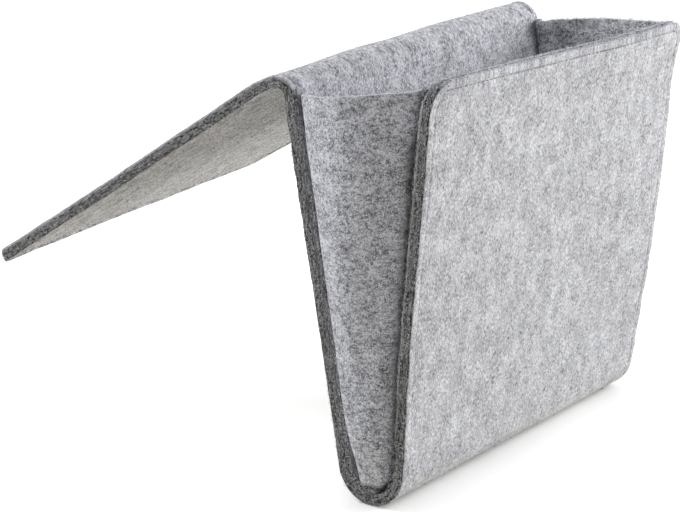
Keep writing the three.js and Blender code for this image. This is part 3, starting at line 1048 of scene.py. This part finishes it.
    def rows(self, down, wall):
        """Middle surface, flat coordinates and share of the front's turn over a grid."""
        g = self.g
        grid, flat, share = [], [], []
        reach = self.TAPS
        taps = np.exp(-0.5 * (np.arange(-reach, reach + 1) * self.STEP / g.fold) ** 2)
        taps /= taps.sum()
        for v in down:
            path, across, lap = self.outline(v)
            run = run_length(path)
            even = np.arange(0, run[-1], self.STEP)
            fine = sample(even, run, path)
            before = 2 * fine[0] - fine[reach:0:-1]
            after = 2 * fine[-1] - fine[-2 : -reach - 2 : -1]
            padded = np.concatenate([before, fine, after])
            fine = np.stack([np.convolve(padded[:, k], taps, "valid") for k in range(3)], -1)
            total = even[-1]
            first = np.linspace(self.RIM, g.flange, 8)[:-1]
            last = total - np.linspace(self.RIM, lap, 6)[:-1][::-1]
            spots = np.concatenate([first, g.flange + (total - g.flange - lap) * wall, last])
            grid.append(sample(spots, even, fine))
            flat.append(spots - 0.4 * total)
            share.append(np.interp(spots, even, np.interp(even, run, across)))
        grid = np.array(grid)
        grid[..., 0] *= self.side
        grid[..., 1:] += self.strip.centre[1:]
        return grid, np.array(flat), np.array(share)


# Painted shade in the crevice beside the front: its width at the mouth and how much less it has at
# the foot, in millimetres, how dark it is, how dark the painted shade on the left gusset's hidden
# flange is, and how dark the felt over the foot is
CREVICE_SHADE_WIDTH, CREVICE_SHADE_TAPER = 5.2, 2.4
CREVICE_SHADE = 0.75
FLANGE_SHADE = 0.6
FOOT_DARK = 0.9


def gusset_piece(name, side):
    """A gusset's felt, with the share of the front's turn that each point takes."""
    shape = Gusset(side)
    g = shape.g
    tall = shape.arc + g.back_rise
    rim = shape.RIM
    edge = rim / tall
    main = np.linspace(10 * edge, 1 - 8 * edge, 96)
    down = np.concatenate([[edge, 3 * edge, 6 * edge], main, [1 - 4 * edge, 1 - edge]])
    turn = np.linspace(0, 1, 56)
    wall = 0.5 * turn + 0.5 * (0.5 - 0.5 * np.cos(np.pi * turn))
    middle, flat_across, share = shape.rows(down, wall)
    slope = np.cross(np.gradient(middle, axis=1), np.gradient(middle, axis=0))
    normal = unit(slope) * -1
    along = np.repeat((down * tall)[:, None], middle.shape[1], 1)
    flat = np.stack([flat_across, along + (RIGHT_GRAIN if side > 0 else LEFT_GRAIN)], -1)
    lie = GUSSET_LIE * LIE(flat_across * 1.5, along + side) * arch(share)
    middle = middle + normal * lie[..., None]
    dents = DENT_DEPTH * DENTS(flat_across, along + side)
    low = HINGES["front_fold"][2] - middle[..., 2]
    flange = 1 - smooth(np.minimum(share, 1 - share) / 0.02)
    gathered = g.gather * flange * smooth(low / (0.8 * shape.radius))
    outward = np.mean(normal[20, 20:40, 0]) * side
    lifts = (dents + gathered, -dents) if outward > 0 else (dents, gathered - dents)
    bevel, plain = np.full(share.shape, rim), np.zeros(share.shape)
    rims = [rim, bevel, bevel, plain, plain]
    # A painted highlight along the gusset's top edge, where it faces up
    brushed = np.clip(1 - down / (6 * edge), 0, 1)[:, None] * (1 - flange)
    # Darker felt over the gusset's foot
    hem = FOOT_DARK * smooth(1.5 - (1 - down) * tall / g.frayed)
    # Painted shade in the crevice beside the front, where the front's band hides the wall
    from_front = (1 - share) * shape.chords(down)[:, None]
    dark = (CREVICE_SHADE_WIDTH - CREVICE_SHADE_TAPER * down[:, None]) * MM
    painted_crevice_shade = CREVICE_SHADE * smooth(1.6 - from_front / dark) * smooth(down / 0.1 - 0.4)[:, None]
    # Painted shade on the left gusset's flange, deep in the crevice beside the back's band
    hidden = FLANGE_SHADE * flange * (side < 0)
    # On a gusset frayed also holds the painted shade and the darker felt over the foot
    frayed = np.maximum(np.maximum(hem[:, None], hidden), painted_crevice_shade)
    felt = shape.strip.z.felt
    piece = felt_piece(name, middle, normal, flat, lifts, frayed, brushed, rims, felt)
    ri, rj = rim_ring(*share.shape)
    loops = (len(piece.data.vertices) - 2 * share.size) // len(ri)
    shares = [share.ravel(), share.ravel()] + [share[ri, rj]] * loops
    bend_by_share(piece, np.concatenate(shares))
    return piece


# Dense points of a seam down a panel's side, round its corner and along half its end, and of the
# front's hem, and the tightest bend of a seam
SIDE_POINTS, CORNER_POINTS, END_POINTS = 900, 24, 250
HEM_POINTS = 600
LEAST_BEND = 1.2 * MM
# How deep stitches lie: shares of the groove, and of the thread where no groove shows. The
# distance each way from which a stitch takes its direction
GROOVE_SHARE, THREAD_SHARE = 0.82, 0.8
AIM_REACH = 0.6 * MM


def seam_path(side_at, corners, end_at):
    """A seam from one side of a panel round its end to the other side: dense (x, s) points.

    side_at is where it starts and ends on the sides, end_at the cut end that it runs round.
    """
    inset = settings().sewing.inset
    x = Strip().half - inset
    way = 1 if end_at > side_at else -1
    end = end_at - way * inset
    a = np.linspace(0, np.pi / 2, CORNER_POINTS)[1:-1]
    halves = []
    for corner in corners:
        bend = max(corner - inset, LEAST_BEND)
        down = np.linspace(side_at, end - way * bend, SIDE_POINTS)
        side = np.stack([np.full(SIDE_POINTS, -x), down], -1)
        turn = np.stack([-x + bend * (1 - np.cos(a)), end - way * bend * (1 - np.sin(a))], -1)
        top = np.stack([np.linspace(-x + bend, 0, END_POINTS), np.full(END_POINTS, end)], -1)
        halves.append(np.concatenate([side, turn, top]))
    return np.concatenate([halves[0], halves[1][-2::-1] * [-1, 1]])


def everywhere(s, to_end, to_side):
    """1 all over a ply."""
    return np.ones(s.shape)


def top_only(s, to_end, to_side):
    """1 along the front's top edge, 0 along its sides."""
    return np.clip((to_side - to_end) / HEM_FADE, 0, 1)


def faint(s, to_end, to_side):
    """Share of the seam's groove that shows outside on the front: less along its sides."""
    return 0.35 + 0.65 * top_only(s, to_end, to_side)


def stitch_points(path, face):
    """Places, directions and normals of the stitches along a path on one face of the sheet."""
    strip = Strip()
    sewing = settings().sewing
    x, s = path.T
    share = np.ones(len(x))
    depth = np.zeros(len(x))
    if face < 0:
        outside = faint(s, strip.end - s, strip.half - np.abs(x))
        share = np.where(s > strip.bottom_at, outside, share)
        depth = sewing.valley * strip.on_flap(s)
    depth = depth + GROOVE_SHARE * sewing.groove * share
    depth = depth + THREAD_SHARE * sewing.thread * (1 - share)
    spots = strip.place(x, s, face * (strip.z.sheet / 2 - depth))
    lift = strip.normal(x, s) * face
    run = run_length(spots)
    at = np.arange(sewing.pitch / 2, run[-1], sewing.pitch)
    ahead = sample(at + AIM_REACH, run, spots) - sample(at - AIM_REACH, run, spots)
    return sample(at, run, spots), ahead, sample(at, run, lift)


def node_tree(name, numbers, material):
    """A new geometry tree with a mesh, numbers and a material going in, and its input wires."""
    tree = bpy.data.node_groups.new(name, "GeometryNodeTree")
    face = tree.interface
    face.new_socket("Geometry", in_out="INPUT", socket_type="NodeSocketGeometry")
    for given in numbers:
        face.new_socket(given, in_out="INPUT", socket_type="NodeSocketFloat")
    face.new_socket(material, in_out="INPUT", socket_type="NodeSocketMaterial")
    face.new_socket("Geometry", in_out="OUTPUT", socket_type="NodeSocketGeometry")
    group = tree.nodes.new("NodeGroupInput")
    return tree, {s.name: Wire(tree, s) for s in group.outputs if s.name}


def end_tree(tree, placed, material):
    """Ends a tree: one copy at each point, made real and given its material."""
    copies = add_node(tree, "GeometryNodeInstanceOnPoints", {}, placed)
    real = add_node(tree, "GeometryNodeRealizeInstances", {}, {"Geometry": copies})
    done = add_node(tree, "GeometryNodeSetMaterial", {}, {"Geometry": real, "Material": material})
    out = tree.nodes.new("NodeGroupOutput")
    tree.links.new(done.socket, out.inputs[0])
    return tree


def chance(tree, low, high, seed):
    """A random number for each copy, the same in each run."""
    inputs = {2: low, 3: high, "Seed": seed}
    return add_node(tree, "FunctionNodeRandomValue", {"data_type": "FLOAT"}, inputs, output=1)


def kept_on_mesh(tree, name, kind):
    """What a mesh keeps for its points, in geometry nodes."""
    return add_node(tree, "GeometryNodeInputNamedAttribute", {"data_type": kind}, {"Name": name})


def bow(tree, steps, *ends):
    """A curve from a start over a middle to an end, each given as its sockets' values."""
    inputs = {"Resolution": steps}
    for name, spot in zip(("Start", "Middle", "End"), ends):
        inputs[name] = add_node(tree, "ShaderNodeCombineXYZ", {}, spot)
    return add_node(tree, "GeometryNodeCurveQuadraticBezier", {}, inputs)


def tube(tree, line, section):
    """A closed solid of one section along a curve."""
    inputs = {"Curve": line, "Profile Curve": section, "Fill Caps": True}
    return add_node(tree, "GeometryNodeCurveToMesh", {}, inputs)


def stitch_tree():
    """Geometry nodes that lay one twisted stitch at each point of a seam."""
    tree, given = node_tree("lock_stitches", ["Stitch Length", "Thread Width", "Sink"], "Thread")
    half = given["Stitch Length"] * 0.5
    down = given["Sink"] * -1.0
    thread = given["Thread Width"]
    line = bow(tree, 7, {"X": half * -1.0, "Z": down}, {"Z": thread * 0.9}, {"X": half, "Z": down})
    factor = add_node(tree, "GeometryNodeSplineParameter", {}, {}, output="Factor")
    twist = {"Curve": line, "Tilt": factor * (2 * math.pi)}
    twisted = add_node(tree, "GeometryNodeSetCurveTilt", {}, twist)
    star = {"Points": 3, "Inner Radius": thread * 0.34, "Outer Radius": thread * 0.5}
    section = add_node(tree, "GeometryNodeCurveStar", {}, star)
    stitch = tube(tree, twisted, section)
    rounded = add_node(tree, "GeometryNodeSetShadeSmooth", {}, {"Geometry": stitch})
    along, lift = (kept_on_mesh(tree, name, "FLOAT_VECTOR") for name in ("along", "lift"))
    align = "FunctionNodeAlignRotationToVector"
    turn = add_node(tree, align, {"axis": "X"}, {"Vector": along})
    upright = {"axis": "Z", "pivot_axis": "X"}
    turn = add_node(tree, align, upright, {"Rotation": turn, "Vector": lift})
    vary = chance(tree, 0.93, 1.05, 5)
    placed = {"Points": given["Geometry"], "Instance": rounded, "Rotation": turn, "Scale": vary}
    return end_tree(tree, placed, given["Thread"])


def fibre_tree():
    """Geometry nodes that stand short bent fibres on felt, most where its fuzz is."""
    numbers = ["Density", "Fibre Length", "Fibre Width"]
    tree, given = node_tree("loose_fibres", numbers, "Wool")
    long = given["Fibre Length"]
    density = kept_on_mesh(tree, "fuzz", "FLOAT") * given["Density"]
    spread = {"Mesh": given["Geometry"], "Density": density, "Seed": 21}
    spots = add_node(tree, "GeometryNodeDistributePointsOnFaces", {}, spread)
    upright = Wire(tree, spots.socket.node.outputs["Rotation"])
    knee = {"X": long * 0.1, "Z": long * 0.5}
    line = bow(tree, 2, {"Z": long * -0.2}, knee, {"X": long * 0.75, "Z": long * 0.45})
    ring = {"Resolution": 3, "Radius": given["Fibre Width"] * 0.5}
    fibre = tube(tree, line, add_node(tree, "GeometryNodeCurvePrimitiveCircle", {}, ring))
    swing = {"Axis": (0, 0, 1), "Angle": chance(tree, 0.0, 2 * math.pi, 22)}
    spin = add_node(tree, "FunctionNodeAxisAngleToRotation", {}, swing)
    turned = {"Rotation": upright, "Rotate By": spin}
    turn = add_node(tree, "FunctionNodeRotateRotation", {"rotation_space": "LOCAL"}, turned)
    size = chance(tree, 0.5, 1.3, 23)
    placed = {"Points": spots, "Instance": fibre, "Rotation": turn, "Scale": size}
    return end_tree(tree, placed, given["Wool"])


def bake(piece_name, source, tree, values):
    """Runs a node tree on a source mesh and keeps its result as a plain mesh."""
    holder = new_object(piece_name + ".source", source)
    modifier = holder.modifiers.new("nodes", "NODES")
    modifier.node_group = tree
    sockets = {s.name: s.identifier for s in tree.interface.items_tree if s.in_out == "INPUT"}
    for name, value in values.items():
        modifier[sockets[name]] = value
    graph = bpy.context.evaluated_depsgraph_get()
    made = holder.evaluated_get(graph)
    mesh = bpy.data.meshes.new_from_object(made, preserve_all_data_layers=True, depsgraph=graph)
    if not mesh.polygons:
        raise RuntimeError(piece_name + ": the nodes made no faces")
    holder.modifiers.clear()
    bpy.data.objects.remove(holder)
    mesh.name = piece_name
    return new_object(piece_name, mesh)


def stitches(name, path, face):
    """The stitches of one seam on one face of the sheet, as one piece."""
    sewing = settings().sewing
    spots, along, lift = stitch_points(path, face)
    source = bpy.data.meshes.new(name + ".points")
    source.from_pydata(spots.tolist(), [], [])
    store(source, "along", along)
    store(source, "lift", lift)
    tree = bpy.data.node_groups.get("lock_stitches") or stitch_tree()
    values = {
        "Stitch Length": sewing.stitch,
        "Thread Width": sewing.thread,
        "Sink": sewing.thread * 0.75,
        "Thread": thread_material(),
    }
    piece = bake(name, source, tree, values)
    return piece


def fibres(felt_name, name, on_faces):
    """Loose fibres on a felt piece: on_faces(flat) says how many stand on its faces, where its
    cut edges have 1."""
    wool = settings().wool
    source = bpy.data.objects[felt_name].data.copy()
    fully_cut = read(source, "cut") > 0.95
    store(source, "fuzz", np.where(fully_cut, 1.0, on_faces(read(source, "flat"))))
    tree = bpy.data.node_groups.get("loose_fibres") or fibre_tree()
    values = {
        "Density": wool.density,
        "Fibre Length": wool.fibre,
        "Fibre Width": wool.width,
        "Wool": fibre_material(),
    }
    return bake(name, source, tree, values)


LINING_CONTRAST, SHELL_CONTRAST = 1.45, 1.12
PLY_PULL = 1.6


def long_plies(name, panels, bend, flat_length, tone, hems, **cut):
    """A lining and a shell over the same panels: made, dressed and bent, their parts in the model hidden.

    hems has each ply's hem and bare, tone tints the shell, cut goes on to both plies.
    """
    lining, shell = (
        ply(f"{name}_{part}", part == "lining", hem=hem, bare=bare, **cut)
        for part, (hem, bare) in zip(("lining", "shell"), hems)
    )
    felt = panels[-1]
    dress(lining, felt_material(felt + "_lining", LINING_CONTRAST, PLY_PULL))
    dress(shell, felt_material(felt + "_shell", SHELL_CONTRAST, PLY_PULL, tone))
    for piece, part, other in ((lining, "lining", shell), (shell, "shell", lining)):
        bend(piece)
        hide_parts(*(f"{panel}_{part}_felt" for panel in panels))


class CADDY_OT_flap_and_back(bpy.types.Operator):
    """Make the two plies that run from the flap's tip over the fold and down the back"""

    bl_idname = "caddy.flap_and_back"
    bl_label = "Flap and back"

    def execute(self, context):
        strip = Strip()

        def over(s, to_end, to_side):
            return np.clip((strip.back_at - s) / HEM_FADE, 0, 1)

        long_plies(
            "flap_back",
            ("flap", "top_fold", "back"),
            bend_over_fold,
            strip.bottom_at,
            # Painted shade: the shell is toned darker and warmer, for the shade under the flap
            tone=(0.95, 0.945, 0.94),
            hems=((over, over), (everywhere, everywhere)),
            flap=True,
            stations=flap_stations(strip),
            corners=(strip.z.flap_corner, strip.z.flap_corner),
            # A faint painted highlight along the flap's tip
            end_brushed=0.2,
        )
        return {"FINISHED"}


class CADDY_OT_bottom_and_front(bpy.types.Operator):
    """Make the two plies that run on round the bottom and up the front"""

    bl_idname = "caddy.bottom_and_front"
    bl_label = "Bottom and front"

    def execute(self, context):
        strip = Strip()

        def near_top(s, to_end, to_side):
            return smooth(1 - to_end / (18 * MM))

        long_plies(
            "front_bottom",
            ("bottom", "front"),
            bend_at_bottom,
            strip.end - strip.bottom_at,
            tone=(0.985, 0.995, 1.015),
            hems=((top_only, near_top), (faint, everywhere)),
            flap=False,
            stations=front_stations(strip),
            corners=(strip.z.front_corner, strip.z.right_corner),
            # A painted highlight along the front's top edge, where it faces up
            end_brushed=1.0,
        )
        return {"FINISHED"}


class CADDY_OT_gussets(bpy.types.Operator):
    """Make the two gussets that close the pocket's sides"""

    bl_idname = "caddy.gussets"
    bl_label = "Gussets"

    def execute(self, context):
        # One felt in two tinted copies for how each gusset is lit: a cool painted shade tone on the near
        # gusset and a plain tone on the far one
        painted_near_shade_tone, plain = (0.965, 0.985, 1.05), (0.985, 0.985, 0.97)
        for side, name, tone in ((-1, "left_gusset", painted_near_shade_tone), (1, "right_gusset", plain)):
            piece = gusset_piece(name + "_felt", side)
            # Both get a pale painted highlight along their top edges
            felt = felt_material(
                "felt_" + name, contrast=1.5, pull=0.9, tone=tone, highlight_pale=0.8, patchy=1.1
            )
            dress(piece, felt)
            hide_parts(name)
        return {"FINISHED"}


class CADDY_OT_seams(bpy.types.Operator):
    """Sew the rows of lock stitches along the cut edges"""

    bl_idname = "caddy.seams"
    bl_label = "Seams"

    def execute(self, context):
        strip = Strip()
        z = strip.z
        low = strip.bottom_at
        tip = (z.flap_corner, z.flap_corner)
        upper = stitches("flap_upper_stitches", seam_path(strip.back_at, tip, 0.0), 1)
        bend_over_fold(upper)
        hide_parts("flap_top_thread")
        under = stitches("flap_back_stitches", seam_path(low, tip, 0.0), -1)
        bend_over_fold(under)
        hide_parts("flap_under_thread", "left_back_thread", "right_back_thread")
        top = seam_path(low, (z.front_corner, z.right_corner), strip.end)
        outer = stitches("front_outer_stitches", top, -1)
        bend_at_bottom(outer)
        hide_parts("front_outer_thread")
        reach = strip.half - z.front_corner
        level = strip.end - settings().sewing.inset
        hem = np.stack([np.linspace(-reach, reach, HEM_POINTS), np.full(HEM_POINTS, level)], -1)
        inner = stitches("front_inner_stitches", hem, 1)
        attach(inner, "front")
        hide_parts("front_inner_thread")
        return {"FINISHED"}


class CADDY_OT_fibres(bpy.types.Operator):
    """Stand loose wool fibres on the felt"""

    bl_idname = "caddy.fibres"
    bl_label = "Fibres"

    def execute(self, context):
        wool = settings().wool
        few = wool.faces
        fold_at = settings().sizes.flap

        def high(flat):
            return np.where(flat[:, 2] > 0, few, 0)

        def low(flat):
            return np.where(flat[:, 2] > 0, 0, few)

        def under(flat):
            return low(flat) * np.where(flat[:, 1] < fold_at, wool.under_flap, 1)

        for part, bend, on_faces in (
            ("flap_back_lining", bend_over_fold, high),
            ("flap_back_shell", bend_over_fold, under),
            ("front_bottom_lining", bend_at_bottom, high),
            ("front_bottom_shell", bend_at_bottom, low),
        ):
            piece = fibres(part, part + "_fibres", on_faces)
            bend(piece)
        for part in ("left_gusset", "right_gusset"):
            piece = fibres(part + "_felt", part + "_fibres", lambda flat: few)
            bend_by_share(piece, read(piece.data, "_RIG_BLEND"))
        return {"FINISHED"}


class CADDY_OT_stage(bpy.types.Operator):
    """Set up the floor, the light and the camera"""

    bl_idname = "caddy.stage"
    bl_label = "Stage"

    def execute(self, context):
        view = settings().view
        scene = context.scene
        edge = FLOOR_EDGE
        mesh = bpy.data.meshes.new("floor")
        corners = [(-edge, -edge), (edge, -edge), (edge, edge), (-edge, edge)]
        mesh.from_pydata([(x, y, FLOOR_LEVEL) for x, y in corners], [], [(0, 1, 2, 3)])
        mesh.materials.append(floor_material())
        new_object("floor", mesh)
        self.light_world(scene, view)
        self.lamp("key_lamp", 25, 40, 1.0, view.key)
        self.lamp("fill_lamp", 50, 15, 1.0, view.fill)
        self.lamp("rear_lamp", 210, 35, 0.8, view.rear)
        camera = bpy.data.cameras.new("camera")
        camera.sensor_fit = "HORIZONTAL"
        camera.sensor_width = 36.0
        camera.lens = view.lens
        camera.shift_x, camera.shift_y = view.shift
        camera.clip_start = 0.02
        eye = new_object("camera", camera)
        level = math.cos(view.pitch)
        ahead = (math.sin(view.yaw) * level, math.cos(view.yaw) * level, -math.sin(view.pitch))
        eye.location = Vector(HINGES["front_fold"]) + Vector(view.place)
        eye.rotation_euler = Vector(ahead).to_track_quat("-Z", "Y").to_euler()
        scene.camera = eye
        scene.view_settings.view_transform = "Standard"
        return {"FINISHED"}

    def light_world(self, scene, view):
        """Dim light from all round, white where the background is seen."""
        world = bpy.data.worlds.new("studio")
        world.use_nodes = True
        tree = world.node_tree
        tree.nodes.clear()
        plain = {"Color": (1, 1, 1, 1)}
        dim = add_node(tree, "ShaderNodeBackground", {}, {**plain, "Strength": view.ambient})
        white = add_node(tree, "ShaderNodeBackground", {}, {**plain, "Strength": 1.0})
        inputs = {0: seen_ray(tree), 1: dim, 2: white}
        mixed = add_node(tree, "ShaderNodeMixShader", {}, inputs)
        add_node(tree, "ShaderNodeOutputWorld", {}, {"Surface": mixed})
        scene.world = world

    def lamp(self, name, around, above, size, power):
        """A round lamp on the caddy: degrees round from its front to its right, and up."""
        turn, rise = math.radians(around), math.radians(above)
        level = LAMP_DISTANCE * math.cos(rise)
        place = (level * math.sin(turn), -level * math.cos(turn), LAMP_DISTANCE * math.sin(rise))
        data = bpy.data.lights.new(name, "AREA")
        data.shape = "DISK"
        data.size = size
        data.energy = power
        lamp = new_object(name, data)
        lamp.location = place
        aim = LAMP_AIM - Vector(place)
        lamp.rotation_euler = aim.to_track_quat("-Z", "Y").to_euler()


def seen_ray(tree):
    """1 for a ray from the camera, or off something glossy or clear."""
    node = tree.nodes.new("ShaderNodeLightPath")
    names = ("Is Camera Ray", "Is Glossy Ray", "Is Transmission Ray")
    first, second, third = (Wire(tree, node.outputs[name]) for name in names)
    return (first + second + third).clamp()


def floor_material():
    """A white floor that keeps the caddy's shadow, with a painted contact shadow near the caddy."""
    material, tree = new_material("studio_floor")
    warm = tuple(settings().colours.floor)
    plain = (sum(warm) / 3,) * 3
    colour = mix_colour(tree, seen_ray(tree), opaque(warm), opaque(plain))
    matt = add_node(tree, "ShaderNodeBsdfDiffuse", {}, {"Color": colour})
    near = {"samples": 16}
    # Painted contact shadow: the white glow that the camera sees fades with ambient occlusion near the caddy
    painted_shadow_ao = add_node(tree, "ShaderNodeAmbientOcclusion", near, {"Distance": 0.07}, output="AO")
    white = add_node(tree, "ShaderNodeEmission", {}, {"Color": (1, 1, 1, 1), "Strength": 0.7})
    glow = add_node(tree, "ShaderNodeMixShader", {}, {0: seen_ray(tree) * painted_shadow_ao, 2: white})
    both = add_node(tree, "ShaderNodeAddShader", {}, {0: matt, 1: glow})
    add_node(tree, "ShaderNodeOutputMaterial", {}, {"Surface": both})
    return material


STEPS = [
    CADDY_OT_flap_and_back,
    CADDY_OT_bottom_and_front,
    CADDY_OT_gussets,
    CADDY_OT_seams,
    CADDY_OT_fibres,
    CADDY_OT_stage,
]


class CADDY_PT_panel(bpy.types.Panel):
    """The caddy's settings and steps"""

    bl_idname = "CADDY_PT_panel"
    bl_label = "Felt caddy"
    bl_space_type = "VIEW_3D"
    bl_region_type = "UI"
    bl_category = "Caddy"

    def draw(self, context):
        for group in CaddySettings.__annotations__:
            owner = getattr(context.scene.felt_caddy, group)
            box = self.layout.box()
            for name in owner.__annotations__:
                box.prop(owner, name)
        for step in STEPS:
            self.layout.operator(step.bl_idname)


CLASSES = GROUPS + STEPS + [CADDY_PT_panel]


def register():
    for cls in CLASSES:
        bpy.utils.register_class(cls)
    bpy.types.Scene.felt_caddy = PointerProperty(type=CaddySettings)


def unregister():
    del bpy.types.Scene.felt_caddy
    for cls in reversed(CLASSES):
        bpy.utils.unregister_class(cls)


def main():
    register()
    for step in STEPS:
        area, name = step.bl_idname.split(".")
        getattr(getattr(bpy.ops, area), name)()
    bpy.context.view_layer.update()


if __name__ == "__main__":
    main()
